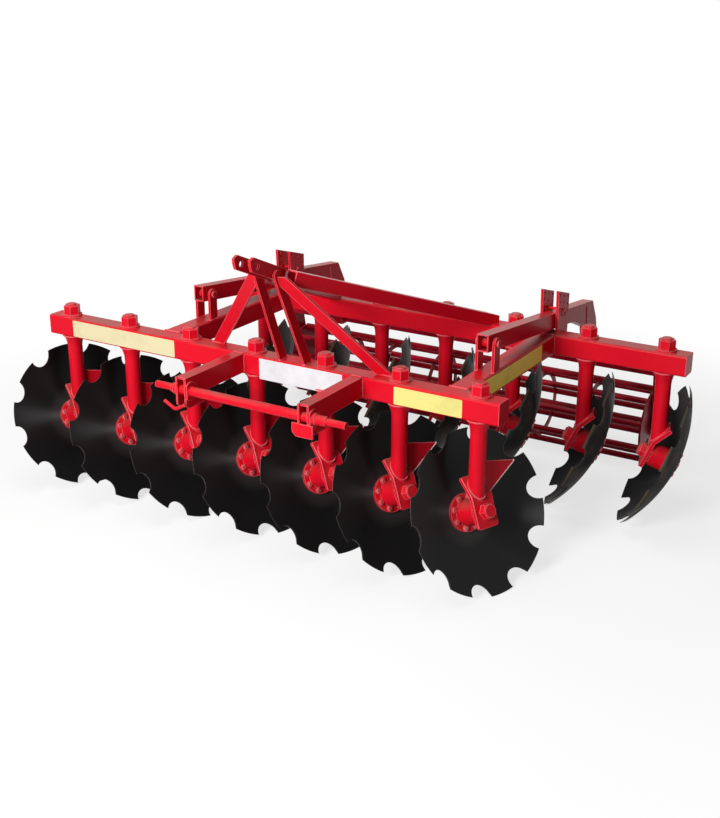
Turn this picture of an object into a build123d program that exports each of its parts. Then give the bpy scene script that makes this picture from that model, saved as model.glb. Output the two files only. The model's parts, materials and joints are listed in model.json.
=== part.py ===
from build123d import *
import math
import os

os.makedirs("parts", exist_ok=True)

# Layout, millimetres: Z = 0 on the ground, X across, Y to the rear
DISCS_PER_ROW = 7
PITCH = 343.0
ROW_SHIFT = 207.0
ROW_GAP = 910.0
FRONT_Y = -655.0
BEAM_TOP = 775.0
FRAME_X = 10.0
RAIL_PITCHES = 4
RAIL_EXTRA = 28.0

# Square tube of the beams and side rails
TUBE_W = 90.0
TUBE_WALL = 8.0
TUBE_CORNER = 10.0
BEAM_OVERHANG = 100.0
END_CAP_T = 6.0

# Disc: a ball-shaped dish with a flat middle, a ground edge and round notches
DISC_R = 330.0
DISC_DEPTH = 95.0
DISC_FLAT_R = 85.0
DISC_SHEET = 6.0
EDGE_T = 2.0
EDGE_GRIND_W = 14.0
NOTCHES = 10
NOTCH_R = 47.0
NOTCH_INSET = 2.0
ATTACK = {"front": 22.0, "rear": 17.6}
LEAN = 23.0

# Turn of each disc on its axle, degrees, one line per disc from left to right
NOTCH_PHASE = [
    {"front": 7.3, "rear": 22.0},
    {"front": 10.6, "rear": 5.0},
    {"front": 20.6, "rear": 31.0},
    {"front": 7.6, "rear": 16.0},
    {"front": 0.8, "rear": 27.0},
    {"front": 30.0, "rear": 7.9},
    {"front": 3.2, "rear": 2.9},
]

# Hub that turns with the disc on a stub axle
HUB_FLANGE_R = 77.0
HUB_FLANGE_T = 12.0
HUB_R = 52.0
HUB_LENGTH = 109.0
HUB_NOSE_R = 32.0
HUB_NOSE_L = 14.0
AXLE_R = 25.0
AXLE_SHY = 4.0
RUNNING_FIT = 0.05
HUB_GAP = 4.0

# Round post, its stud and nuts, and the bent plate that carries the axle
POST_R = 33.0
FLARE_R = 46.0
FLARE_H = 45.0
FLARE_SAG = 0.3
STUD_R = 21.0
STUD_PLAY = 0.5
STUD_SPARE = 6.0
WASHER_R = 44.0
WASHER_T = 8.0
NUT_AF = 65.0
NUT_T = 42.0
NUT_CHAMFER = 3.0
AXLE_OFFSET = 18.0
PLATE_T = 16.0
PLATE_W = 100.0
PLATE_DOWN = 64.0
PLATE_UP = 64.0
PLATE_LEG = 88.0
PLATE_TILT = 25.0
PLATE_BEND_R = 24.0
PLATE_CORNER_R = 14.0
AXLE_NUT_AF = 55.0
AXLE_NUT_T = 26.0
WING_T = 6.0
WING_REACH = 193.0
WING_HEEL = 60.0
WING_TOP_DROP = 268.0
WING_TIP_DROP = 304.0
WING_LOW_DROP = 412.0

# Lower hitch: two open channels with a cross bar through them
HITCH_X = 23.0
HITCH_SPREAD = 574.0
CHANNEL_W = 50.0
CHANNEL_WALL = 8.0
CHANNEL_REACH = 380.0
CHANNEL_H = 82.0
CHEEK_DROP = 126.0
CHEEK_FRONT_DROP = 112.0
CHEEK_LENGTH = 150.0
CHEEK_SLOPE = 0.8
TOP_SET_BACK = 8.0
BAR_R = 19.5
BAR_SEAT = 0.3
BAR_SET_BACK = 27.0
BAR_DROP = 57.0
COLLAR_R = 24.0
COLLAR_L = 14.0
PIN_R = 14.0
PIN_L = 82.0
SHOULDER_L = 49.0
BAR_SHIFT = 15.0
HITCH_BOSS_R = 38.0
HITCH_BOSS_T = 6.0
LOCK_ROD_R = 7.0
LOCK_ROD_BEND_R = 22.0
LOCK_ROD_OUT = 78.0
LOCK_ROD_SAG = 27.0
TOE_PLATE_T = 8.0
TOE_PLATE_W = 92.0
TOE_PLATE_H = 52.0
TOE_PLATE_CUT = 16.0

# Mast head: two plates that hold the top link pin, in line with the backstays
TOP_HOLE_AHEAD = 328.0
TOP_HOLE_UP = 464.0
TOP_HOLE_R = 12.7
HEAD_TILT = 23.0
HEAD_SPREAD = 74.0
HEAD_T = 11.0
HEAD_HIGH = 28.0
HEAD_LOW = 26.0
HEAD_NOSE = 52.0
HEAD_NOSE_CUT = 18.0
HEAD_TAIL = 190.0

# Mast legs: flat bars
INNER_LEG_T = 10.0
INNER_LEG_W = 46.0
INNER_LEG_FOOT = -17.0
INNER_LEG_TOP = 405.0
INNER_LEG_LEAN = 0.48
OUTER_LEG_W = 50.0
OUTER_LEG_T = 12.0
OUTER_LEG_TURN = 14.0
OUTER_LEG_FOOT = 25.0
OUTER_LEG_TIP_X = 62.0
OUTER_LEG_TIP_UP = 390.0

# Foot of each mast leg, measured across from the frame's middle
MAST_FEET = [
    {"side": -1, "inner_x": -72.0, "outer_x": -427.0},
    {"side": 1, "inner_x": 47.5, "outer_x": 387.0},
]

# Backstays: square tubes from the mast head to the rear beam
STAY_W = 60.0
STAY_H = 57.0
STAY_WALL = 5.0
STAY_TOP_X = 75.0
STAY_TOP_AHEAD = 120.0
STAY_TOP_UP = 376.0
STAY_FOOT_BEHIND = 915.0
STAY_FOOT_UP = 5.0
STAY_TAIL = 26.0

# Where each backstay lands on the rear beam, measured from the frame's middle
STAYS = [
    {"side": -1, "foot_x": -405.0},
    {"side": 1, "foot_x": 430.0},
]

# Roller arms with their pins, ears and perforated depth plates
ARM_W = 50.0
ARM_H = 70.0
ARM_WALL = 5.0
ARM_SLOPE = 0.1113
ARM_AHEAD = 51.0
ARM_OVER_PIN = 4.0
ARM_PIN_BEHIND = 288.0
ARM_PIN_UP = 115.0
ARM_PIN_R = 12.5
ARM_BUSH_R = 19.0
PIN_HEAD_R = 15.0
PIN_HEAD_T = 6.0
PIN_TAIL = 8.0
EAR_T = 12.0
EAR_W = 50.0
SIDE_GAP = 5.0
PIN_PLAY = 0.3
ARM_LENGTH = 1123.0
ARM_BACK_CUT = 58.0
LEG_DEPTH = 86.0
LEG_LEAN = 0.267
LEG_PAST_CROSS = 3.133
ELBOW_LONG = 204.0
ELBOW_DEEP = 60.0
ELBOW_SOFT = 0.35
DEPTH_FRONT = 893.0
DEPTH_W = 122.0
DEPTH_UP = 189.0
DEPTH_SLOPE = 0.295
DEPTH_FOOT_CUT = 12.0
DEPTH_HANG = 20.0
DEPTH_HOLE_R = 6.5
DEPTH_PIN_R = 6.0
DEPTH_COLUMNS = 3
DEPTH_ROWS = 3
DEPTH_COLUMN_GAP = 43.0
DEPTH_ROW_GAP = 31.5
DEPTH_FIRST_HOLE = 21.0
DEPTH_PIN_COLUMN = 1
DEPTH_PIN_GAP = 6.5
RING_R = 14.0
RING_WIRE_R = 2.0

# Roller with its cross tube and end plates
ROLLER_TRAIL = 58.0
ROLLER_HALF = 1008.0
ROLLER_SLATS = 9
FIRST_SLAT = 6.5
SLAT_R = 15.0
SLAT_CIRCLE_R = 175.0
END_DISC_R = 186.0
HOOPS = 6
HOOP_OUT_R = 170.0
HOOP_W = 25.0
HOOP_T = 8.0
END_DISC_T = 10.0
SHAFT_R = 24.0
JOURNAL_R = 17.5
CROSS_W = 75.0
CROSS_WALL = 6.0
CROSS_CORNER = 6.0
CROSS_DROP = 272.0
END_PLATE_T = 10.0
END_PLATE_GAP = 8.0
BEARING_R = 45.0
BEARING_L = 24.0

# Places that follow from the sizes
REAR_Y = FRONT_Y + ROW_GAP
BEAM_Z = BEAM_TOP - TUBE_W / 2
BEAM_UNDER = BEAM_TOP - TUBE_W
BEAM_LENGTH = PITCH * (DISCS_PER_ROW - 1) + 2 * BEAM_OVERHANG
FRONT_FACE = FRONT_Y - TUBE_W / 2
DISC_Z = DISC_R * math.cos(math.radians(LEAN)) + EDGE_T * math.sin(math.radians(LEAN))
RAIL_SPREAD = PITCH * RAIL_PITCHES + RAIL_EXTRA
ROLLER_R = SLAT_CIRCLE_R + SLAT_R
CROSS_Z = BEAM_TOP - CROSS_DROP


def save(name, shape):
    export_step(shape, "parts/" + name + ".step")


def rounded_tube(length, wide, high, wall, corner, cap=0.0):
    outer = extrude(RectangleRounded(wide, high, corner), amount=length / 2, both=True)
    room = RectangleRounded(wide - 2 * wall, high - 2 * wall, corner / 2)
    inner = extrude(room, amount=length / 2 - cap, both=True)
    return Rot(0, 90, 0) * (outer - inner)


def row_x(row, index):
    shift = -ROW_SHIFT if row == "front" else ROW_SHIFT
    return PITCH * (index - (DISCS_PER_ROW - 1) / 2) + shift


def across(radius, length):
    return Rot(0, 90, 0) * Cylinder(radius, length)


def side_plate(points, thick):
    return extrude(Plane.YZ * make_face(Polyline(points, close=True)), amount=thick / 2, both=True)


def unit_axes(row):
    mirror = 1 if row == "front" else -1
    a = math.radians(ATTACK[row])
    t = math.radians(LEAN)
    axle = Vector(mirror * math.cos(t) * math.cos(a), -math.cos(t) * math.sin(a), math.sin(t))
    return mirror, axle, Vector(0, 0, 1).cross(axle).normalized()


def unit_plane(row, x, y):
    mirror, axle, along = unit_axes(row)
    return Plane(origin=(x + mirror * AXLE_OFFSET, y, DISC_Z), x_dir=along, z_dir=axle)


ROWS = (("front", FRONT_Y), ("rear", REAR_Y))

# Beams, closed at both ends, with a hole through for each post's stud
for row, y in ROWS:
    middle = -ROW_SHIFT if row == "front" else ROW_SHIFT
    beam = rounded_tube(BEAM_LENGTH, TUBE_W, TUBE_W, TUBE_WALL, TUBE_CORNER, END_CAP_T)
    beam = Pos(middle, y, BEAM_Z) * beam
    for index in range(DISCS_PER_ROW):
        beam -= Pos(row_x(row, index), y, BEAM_Z) * Cylinder(STUD_R + STUD_PLAY, 2 * TUBE_W)
    save(row + "_beam", beam)

rail = Rot(0, 0, 90) * rounded_tube(ROW_GAP - TUBE_W, TUBE_W, TUBE_W, TUBE_WALL, TUBE_CORNER)
rail_y = (FRONT_Y + REAR_Y) / 2
rails = [Pos(FRAME_X + side * RAIL_SPREAD / 2, rail_y, BEAM_Z) * rail for side in (-1, 1)]
save("side_rails", Compound(children=rails))

# Disc, drawn with the axle along Z, the rim plane at Z = 0 and the hollow side up
ball_z = (DISC_FLAT_R ** 2 + DISC_DEPTH ** 2 - DISC_R ** 2) / (-2 * DISC_DEPTH)
ball_in = math.hypot(DISC_R, ball_z)
ball_out = ball_in + DISC_SHEET


def skin(ball_r, r):
    return (r, ball_z - math.sqrt(ball_r ** 2 - r ** 2))


grind_r = DISC_R - EDGE_GRIND_W
flat_out_r = math.sqrt(ball_out ** 2 - (ball_z + DISC_DEPTH + DISC_SHEET) ** 2)
flat_out = (flat_out_r, -DISC_DEPTH - DISC_SHEET)
with BuildPart() as dish:
    with BuildSketch(Plane.XZ):
        with BuildLine():
            Line((HUB_NOSE_R, -DISC_DEPTH), (DISC_FLAT_R, -DISC_DEPTH))
            ThreePointArc((DISC_FLAT_R, -DISC_DEPTH), skin(ball_in, (DISC_FLAT_R + DISC_R) / 2), (DISC_R, 0))
            Line((DISC_R, 0), (DISC_R, -EDGE_T))
            Line((DISC_R, -EDGE_T), skin(ball_out, grind_r))
            ThreePointArc(skin(ball_out, grind_r), skin(ball_out, (flat_out_r + grind_r) / 2), flat_out)
            Line(flat_out, (HUB_NOSE_R, -DISC_DEPTH - DISC_SHEET))
            Line((HUB_NOSE_R, -DISC_DEPTH - DISC_SHEET), (HUB_NOSE_R, -DISC_DEPTH))
        make_face()
    revolve(axis=Axis.Z)
    with PolarLocations(DISC_R - NOTCH_INSET, NOTCHES):
        Cylinder(NOTCH_R, 2 * DISC_DEPTH, mode=Mode.SUBTRACT)
disc = dish.part

# Hub: a flange bolted on the hollow side, a barrel for the bearings and a nose through the disc
hub_top = HUB_LENGTH - DISC_DEPTH
nose_l = DISC_SHEET + HUB_NOSE_L
hub = Pos(0, 0, -DISC_DEPTH + HUB_FLANGE_T / 2) * Cylinder(HUB_FLANGE_R, HUB_FLANGE_T)
hub += Pos(0, 0, hub_top - HUB_LENGTH / 2) * Cylinder(HUB_R, HUB_LENGTH)
hub += Pos(0, 0, -DISC_DEPTH - nose_l / 2) * Cylinder(HUB_NOSE_R, nose_l)
bore_bottom = -DISC_DEPTH + HUB_FLANGE_T + AXLE_SHY
bore_l = hub_top - bore_bottom + AXLE_SHY
hub -= Pos(0, 0, bore_bottom + bore_l / 2 - AXLE_SHY / 2) * Cylinder(AXLE_R + RUNNING_FIT, bore_l)

# Bent plate with the stub axle and its nut, in the disc's own frame
plate_z = hub_top + HUB_GAP + PLATE_T / 2
fall = math.radians(PLATE_TILT)
plate_end = (PLATE_UP + PLATE_LEG * math.cos(fall), plate_z - PLATE_LEG * math.sin(fall))
plate_line = FilletPolyline((-PLATE_DOWN, plate_z), (PLATE_UP, plate_z), plate_end, radius=PLATE_BEND_R)
bent = extrude(Plane.YZ * trace(plate_line, PLATE_T), amount=PLATE_W / 2, both=True)
bent = fillet(bent.edges().filter_by(Axis.Z).group_by(Axis.Y)[0], PLATE_CORNER_R)
axle_low = bore_bottom + AXLE_SHY / 2
axle_top = plate_z + PLATE_T / 2 + AXLE_NUT_T + STUD_SPARE
stub = Pos(0, 0, (axle_low + axle_top) / 2) * Cylinder(AXLE_R, axle_top - axle_low)
axle_nut = extrude(RegularPolygon(AXLE_NUT_AF / 2, 6, major_radius=False), AXLE_NUT_T)
carrier = bent + stub + Pos(0, 0, plate_z + PLATE_T / 2) * axle_nut
under_leg = Pos(0, PLATE_UP, plate_z) * Rot(-PLATE_TILT, 0, 0)
under_leg = under_leg * Pos(0, 0, -BEAM_TOP / 2) * Box(BEAM_TOP, BEAM_TOP, BEAM_TOP)

# Post: a round bar that flares under the beam, with a stud, washer and nut above it
with BuildPart() as flared:
    with BuildSketch(Plane.XZ):
        with BuildLine():
            sag = FLARE_R - POST_R
            Line((0, 0), (FLARE_R, 0))
            ThreePointArc((FLARE_R, 0), (POST_R + FLARE_SAG * sag, -FLARE_SAG * FLARE_H), (POST_R, -FLARE_H))
            Line((POST_R, -FLARE_H), (0, -FLARE_H))
            Line((0, -FLARE_H), (0, 0))
        make_face()
    revolve(axis=Axis.Z)
flare = flared.part
top_nut = extrude(RegularPolygon(NUT_AF / 2, 6, major_radius=False), NUT_T)
top_nut = chamfer(top_nut.faces().sort_by(Axis.Z)[-1].edges(), NUT_CHAMFER)
stud_l = TUBE_W + WASHER_T + NUT_T + STUD_SPARE


def post(row, x, y):
    mirror, axle, along = unit_axes(row)
    plane = unit_plane(row, x, y)
    bar_l = BEAM_UNDER - DISC_Z
    made = Pos(x, y, DISC_Z + bar_l / 2) * Cylinder(POST_R, bar_l)
    made -= plane.location * under_leg
    made += Pos(x, y, BEAM_UNDER) * flare
    made += Pos(x, y, BEAM_UNDER + stud_l / 2) * Cylinder(STUD_R, stud_l)
    made += Pos(x, y, BEAM_TOP + WASHER_T / 2) * Cylinder(WASHER_R, WASHER_T)
    made += Pos(x, y, BEAM_TOP + WASHER_T) * top_nut
    made += plane.location * carrier
    outward = Vector(along.X, along.Y, 0) * mirror
    wing_plane = Plane(origin=(x, y, BEAM_TOP), x_dir=outward, z_dir=outward.cross(Vector(0, 0, 1)))
    corners = [
        (POST_R - WING_T, -WING_TOP_DROP),
        (WING_REACH, -WING_TIP_DROP),
        (WING_HEEL, -WING_LOW_DROP),
        (POST_R - WING_T, -WING_LOW_DROP),
    ]
    wing = extrude(wing_plane * make_face(Polyline(corners, close=True)), amount=WING_T / 2, both=True)
    return made + wing


for row, y in ROWS:
    posts = [post(row, row_x(row, index), y) for index in range(DISCS_PER_ROW)]
    save(row + "_posts", Compound(children=posts))
    for index in range(DISCS_PER_ROW):
        place = unit_plane(row, row_x(row, index), y).location
        turn = Rot(0, 0, NOTCH_PHASE[index % len(NOTCH_PHASE)][row])
        number = str(index + 1)
        save("disc_" + row + "_" + number, place * turn * disc)
        save("hub_" + row + "_" + number, place * hub)

# Lower hitch channels: two cheeks that drop at the front under a top strip, and a round boss
tip_y = FRONT_FACE - CHANNEL_REACH
bar_y = tip_y + BAR_SET_BACK
bar_z = BEAM_TOP - BAR_DROP
cheek_back = tip_y + CHEEK_LENGTH
cheek_rise = (CHEEK_DROP - CHANNEL_H) * CHEEK_SLOPE
cheek = side_plate([
    (FRONT_FACE, BEAM_TOP),
    (tip_y, BEAM_TOP),
    (tip_y, BEAM_TOP - CHEEK_FRONT_DROP),
    (tip_y + CHEEK_DROP - CHEEK_FRONT_DROP, BEAM_TOP - CHEEK_DROP),
    (cheek_back - cheek_rise, BEAM_TOP - CHEEK_DROP),
    (cheek_back, BEAM_TOP - CHANNEL_H),
    (FRONT_FACE, BEAM_TOP - CHANNEL_H),
], CHANNEL_WALL)
strip_l = CHANNEL_REACH - TOP_SET_BACK
strip = Box(CHANNEL_W, strip_l, CHANNEL_WALL)
bar_hole = Pos(0, bar_y, bar_z) * across(BAR_R + BAR_SEAT, 2 * CHANNEL_W)
channels = []
for side in (-1, 1):
    body = Pos(0, FRONT_FACE - strip_l / 2, BEAM_TOP - CHANNEL_WALL / 2) * strip
    for edge in (-1, 1):
        body += Pos(edge * (CHANNEL_W - CHANNEL_WALL) / 2, 0, 0) * cheek
    boss_x = (CHANNEL_W + HITCH_BOSS_T) / 2
    boss = Pos(boss_x, bar_y, bar_z) * across(HITCH_BOSS_R, HITCH_BOSS_T)
    body += boss & Pos(boss_x, tip_y + BEAM_TOP / 2, BEAM_TOP / 2) * Box(HITCH_BOSS_T, BEAM_TOP, BEAM_TOP)
    body -= bar_hole
    channels.append(Pos(HITCH_X + side * HITCH_SPREAD / 2, 0, 0) * body)
toe_cut = TOE_PLATE_CUT * math.sqrt(2)
toe = Rectangle(TOE_PLATE_W, TOE_PLATE_H)
toe -= Pos(-TOE_PLATE_W / 2, -TOE_PLATE_H / 2) * Rot(0, 0, 45) * Rectangle(toe_cut, toe_cut)
toe_x = HITCH_X + HITCH_SPREAD / 2
toe_z = BEAM_TOP - CHEEK_DROP + TOE_PLATE_H / 2
toe_face = Plane(origin=(toe_x, tip_y, toe_z), x_dir=(1, 0, 0), z_dir=(0, -1, 0))
toe_plate = extrude(toe_face * toe, amount=TOE_PLATE_T)
channels[1] += toe_plate
save("hitch_brackets", Compound(children=channels))

# Bent rod welded across the front of the left channel
rod_x = HITCH_X - HITCH_SPREAD / 2
rod_y = tip_y - LOCK_ROD_R
rod_low = BEAM_TOP - CHEEK_FRONT_DROP + LOCK_ROD_R
rod_line = FilletPolyline(
    (rod_x - LOCK_ROD_OUT, rod_y, rod_low),
    (rod_x - CHANNEL_W / 2, rod_y, rod_low - LOCK_ROD_SAG),
    (rod_x + CHANNEL_W / 2, rod_y, rod_low),
    radius=LOCK_ROD_BEND_R,
)
rod_start = Plane(origin=rod_line @ 0, z_dir=rod_line % 0)
save("hitch_lock_pin", sweep(rod_start * Circle(LOCK_ROD_R), path=rod_line))

# Cross bar: thick between the shoulders, thin pins for the lower links at both ends
shoulder = HITCH_SPREAD / 2 + CHANNEL_W / 2 + SHOULDER_L
bar = across(BAR_R, 2 * shoulder) + across(PIN_R, 2 * (shoulder + PIN_L))
for side in (-1, 1):
    collar_x = side * (HITCH_SPREAD / 2 + CHANNEL_W / 2 + HITCH_BOSS_T + COLLAR_L / 2)
    bar += Pos(collar_x - BAR_SHIFT, 0, 0) * across(COLLAR_R, COLLAR_L)
save("hitch_cross_bar", Pos(HITCH_X + BAR_SHIFT, bar_y, bar_z) * bar)

# Mast head plates, laid out from the top link hole along the line of the backstays
hole_y = FRONT_Y - TOP_HOLE_AHEAD
hole_z = BEAM_TOP + TOP_HOLE_UP
tilt = math.radians(HEAD_TILT)


def down_stay(s, n):
    y = hole_y + s * math.cos(tilt) + n * math.sin(tilt)
    return (y, hole_z - s * math.sin(tilt) + n * math.cos(tilt))


head_outline = [
    (HEAD_NOSE_CUT - HEAD_NOSE, HEAD_HIGH),
    (-HEAD_NOSE, HEAD_HIGH - HEAD_NOSE_CUT),
    (HEAD_NOSE_CUT / 2 - HEAD_NOSE, -HEAD_LOW + HEAD_NOSE_CUT),
    (-HEAD_LOW, -HEAD_LOW),
    (HEAD_TAIL, -HEAD_LOW),
    (HEAD_TAIL, HEAD_HIGH),
]
head = side_plate([down_stay(s, n) for s, n in head_outline], HEAD_T)
head -= Pos(0, hole_y, hole_z) * across(TOP_HOLE_R, 2 * HEAD_T)
heads = [Pos(FRAME_X + side * HEAD_SPREAD / 2, 0, 0) * head for side in (-1, 1)]
save("mast_head", Compound(children=heads))
head_out = HEAD_SPREAD / 2 + HEAD_T / 2


def flat_bar(start, end, wide, thick, turn=0.0):
    run = Vector(*end) - Vector(*start)
    plane = Plane(origin=start, x_dir=(1, 0, 0), z_dir=run.normalized())
    return extrude(plane * Rot(0, 0, turn) * Rectangle(wide, thick), amount=run.length)


def above(z):
    return Pos(0, FRONT_Y, z + BEAM_TOP / 2) * Box(2 * BEAM_LENGTH, 2 * ROW_GAP, BEAM_TOP)


# Backstays: hollow tubes cut flat on the rear beam and mitred against the head plates
head_zone = Pos(FRAME_X, FRONT_Y, BEAM_TOP) * Box(2 * head_out, 4 * ROW_GAP, 2 * BEAM_TOP)
stays = []
for row in STAYS:
    start = Vector(FRAME_X + row["side"] * STAY_TOP_X, FRONT_Y - STAY_TOP_AHEAD, BEAM_TOP + STAY_TOP_UP)
    end = Vector(FRAME_X + row["foot_x"], FRONT_Y + STAY_FOOT_BEHIND, BEAM_TOP + STAY_FOOT_UP)
    run = (end - start).normalized()
    level = Vector(0, 0, 1).cross(run).normalized()
    start = start - run * STAY_W / 2
    plane = Plane(origin=start, x_dir=level, z_dir=run)
    profile = Rectangle(STAY_W, STAY_H) - Rectangle(STAY_W - 2 * STAY_WALL, STAY_H - 2 * STAY_WALL)
    stay = extrude(plane * profile, amount=(end - start).length + STAY_TAIL)
    stay &= above(BEAM_TOP)
    stays.append(stay - head_zone)
save("backstays", Compound(children=stays))

# Inner legs stand outside the head plates with a round top end
legs = []
leg_x = head_out + INNER_LEG_T / 2
leg_foot = FRONT_Y + INNER_LEG_FOOT
leg_top = (leg_foot - INNER_LEG_LEAN * INNER_LEG_TOP, BEAM_TOP + INNER_LEG_TOP)
for row in MAST_FEET:
    top = Vector(FRAME_X + row["side"] * leg_x, *leg_top)
    foot = Vector(FRAME_X + row["inner_x"], leg_foot, BEAM_TOP)
    below = foot - (top - foot).normalized() * TUBE_W
    inner = flat_bar(tuple(below), tuple(top), INNER_LEG_T, INNER_LEG_W)
    inner += Pos(*top) * across(INNER_LEG_W / 2, INNER_LEG_T)
    legs.append((inner & above(BEAM_TOP)) - stays[0] - stays[1] - head_zone)

# Outer legs, turned a little outwards, run up to the inner legs and end level
for row in MAST_FEET:
    side = row["side"]
    tip_y = FRONT_Y + INNER_LEG_FOOT - INNER_LEG_LEAN * OUTER_LEG_TIP_UP
    foot = Vector(FRAME_X + row["outer_x"], FRONT_Y + OUTER_LEG_FOOT, BEAM_TOP)
    tip = Vector(FRAME_X + side * OUTER_LEG_TIP_X, tip_y, BEAM_TOP + OUTER_LEG_TIP_UP)
    run = (tip - foot).normalized()
    start = foot - run * TUBE_W
    end = tip + run * OUTER_LEG_W
    outer = flat_bar(tuple(start), tuple(end), OUTER_LEG_W, OUTER_LEG_T, side * OUTER_LEG_TURN)
    outer = (outer & above(BEAM_TOP)) - above(BEAM_TOP + OUTER_LEG_TIP_UP + OUTER_LEG_T)
    outer = outer - legs[0] - legs[1] - head_zone - stays[0] - stays[1]
    legs.append(outer.solids().sort_by(SortBy.VOLUME)[-1])
save("mast_legs", Compound(children=legs))

# Ears on the side rails with the arm pins
pin_y = FRONT_Y + ARM_PIN_BEHIND
pin_z = BEAM_TOP + ARM_PIN_UP
ear_x = ARM_W / 2 + SIDE_GAP + EAR_T / 2
pin_hole = Pos(0, pin_y, pin_z) * across(ARM_PIN_R + PIN_PLAY, 4 * ARM_W)
ear = Pos(0, pin_y, BEAM_TOP + ARM_PIN_UP / 2) * Box(EAR_T, EAR_W, ARM_PIN_UP)
ear += Pos(0, pin_y, pin_z) * across(EAR_W / 2, EAR_T)
ear -= pin_hole
grip = ARM_W + 2 * SIDE_GAP + 2 * EAR_T
arm_pin = across(ARM_PIN_R, grip + 2 * PIN_TAIL)
arm_pin += Pos(grip / 2 + PIN_HEAD_T / 2 + PIN_PLAY, 0, 0) * across(PIN_HEAD_R, PIN_HEAD_T)
ears = []
pins = []
for side in (-1, 1):
    rail_x = FRAME_X + side * RAIL_SPREAD / 2
    ears += [Pos(rail_x + edge * ear_x, 0, 0) * ear for edge in (-1, 1)]
    pins.append(Pos(rail_x, pin_y, pin_z) * arm_pin)
save("arm_ears", Compound(children=ears))
save("arm_pins", Compound(children=pins))

half_high = ARM_H / 2 * math.hypot(1, ARM_SLOPE)


def arm_mid(y):
    return pin_z + ARM_OVER_PIN - ARM_SLOPE * (y - pin_y)


# Depth plates: slanted tops, rows of holes side by side with the top edge, one pin over the arm
plate_y = FRONT_Y + DEPTH_FRONT
plate_back = plate_y + DEPTH_W
plate_top = BEAM_TOP + DEPTH_UP
beam_back = REAR_Y + TUBE_W / 2
depth_plate = side_plate([
    (plate_y + DEPTH_FOOT_CUT, BEAM_TOP),
    (plate_y, plate_top),
    (plate_back, plate_top - DEPTH_SLOPE * DEPTH_W),
    (plate_back, BEAM_TOP - DEPTH_HANG),
    (beam_back, BEAM_TOP - DEPTH_HANG),
    (beam_back, BEAM_TOP),
], EAR_T)
chosen_y = plate_y + DEPTH_FIRST_HOLE + DEPTH_PIN_COLUMN * DEPTH_COLUMN_GAP
chosen_z = arm_mid(chosen_y) + half_high + DEPTH_PIN_GAP + DEPTH_PIN_R
for column in range(DEPTH_COLUMNS):
    for line in range(DEPTH_ROWS):
        along = (column - DEPTH_PIN_COLUMN) * DEPTH_COLUMN_GAP
        hole_up = chosen_z + line * DEPTH_ROW_GAP - DEPTH_SLOPE * along
        depth_plate -= Pos(0, chosen_y + along, hole_up) * across(DEPTH_HOLE_R, 2 * EAR_T)
depth_pin = across(DEPTH_PIN_R, grip + 2 * PIN_TAIL)
pull_x = grip / 2 + PIN_TAIL / 2
pull = Rot(0, 90, 0) * Torus(RING_R, RING_WIRE_R)
depth_pin += Pos(pull_x, 0, -RING_R) * pull
depth_plates = []
depth_pins = []
for side in (-1, 1):
    rail_x = FRAME_X + side * RAIL_SPREAD / 2
    depth_plates += [Pos(rail_x + edge * ear_x, 0, 0) * depth_plate for edge in (-1, 1)]
    depth_pins.append(Pos(rail_x, chosen_y, chosen_z) * depth_pin)
save("depth_plates", Compound(children=depth_plates))
save("depth_pins", Compound(children=depth_pins))

# Roller arms: a hollow tube, open in front, that turns down behind into a leg on the cross tube
arm_front = pin_y - ARM_AHEAD
arm_back = arm_front + ARM_LENGTH
elbow_y = arm_back + ARM_BACK_CUT
elbow_z = arm_mid(arm_back) + half_high - ARM_BACK_CUT * math.sqrt(3)
leg_low = CROSS_Z - CROSS_W / 2
leg_back = elbow_y + LEG_LEAN * (elbow_z - leg_low)
cross_y = leg_back - LEG_PAST_CROSS
inner_y = elbow_y - LEG_DEPTH + LEG_LEAN * ELBOW_DEEP / 2
inner_z = arm_mid(inner_y) - half_high - ELBOW_DEEP
soft_y = inner_y - ELBOW_LONG * (1 - ELBOW_SOFT)
soft_z = arm_mid(soft_y) - half_high - ELBOW_DEEP * ELBOW_SOFT
arm_outline = [
    (arm_front, arm_mid(arm_front) - half_high),
    (arm_front, arm_mid(arm_front) + half_high),
    (arm_back, arm_mid(arm_back) + half_high),
    (elbow_y, elbow_z),
    (leg_back, leg_low),
    (leg_back - LEG_DEPTH, leg_low),
    (inner_y, inner_z),
    (soft_y, soft_z),
    (inner_y - ELBOW_LONG, arm_mid(inner_y - ELBOW_LONG) - half_high),
]
hollow_back = inner_y - ELBOW_LONG
hollow = [
    (arm_front, arm_mid(arm_front) - half_high + ARM_WALL),
    (arm_front, arm_mid(arm_front) + half_high - ARM_WALL),
    (hollow_back, arm_mid(hollow_back) + half_high - ARM_WALL),
    (hollow_back, arm_mid(hollow_back) - half_high + ARM_WALL),
]
arm = side_plate(arm_outline, ARM_W) - side_plate(hollow, ARM_W - 2 * ARM_WALL)
arm += Pos(0, pin_y, pin_z) * across(ARM_BUSH_R, ARM_W)
arm -= Pos(0, pin_y, pin_z) * across(ARM_PIN_R + RUNNING_FIT, 2 * ARM_W)
arm -= Pos(0, cross_y, CROSS_Z) * Box(2 * ARM_W, CROSS_W, CROSS_W)
arms = [Pos(FRAME_X + side * RAIL_SPREAD / 2, 0, 0) * arm for side in (-1, 1)]
save("roller_arms", Compound(children=arms))

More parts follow.
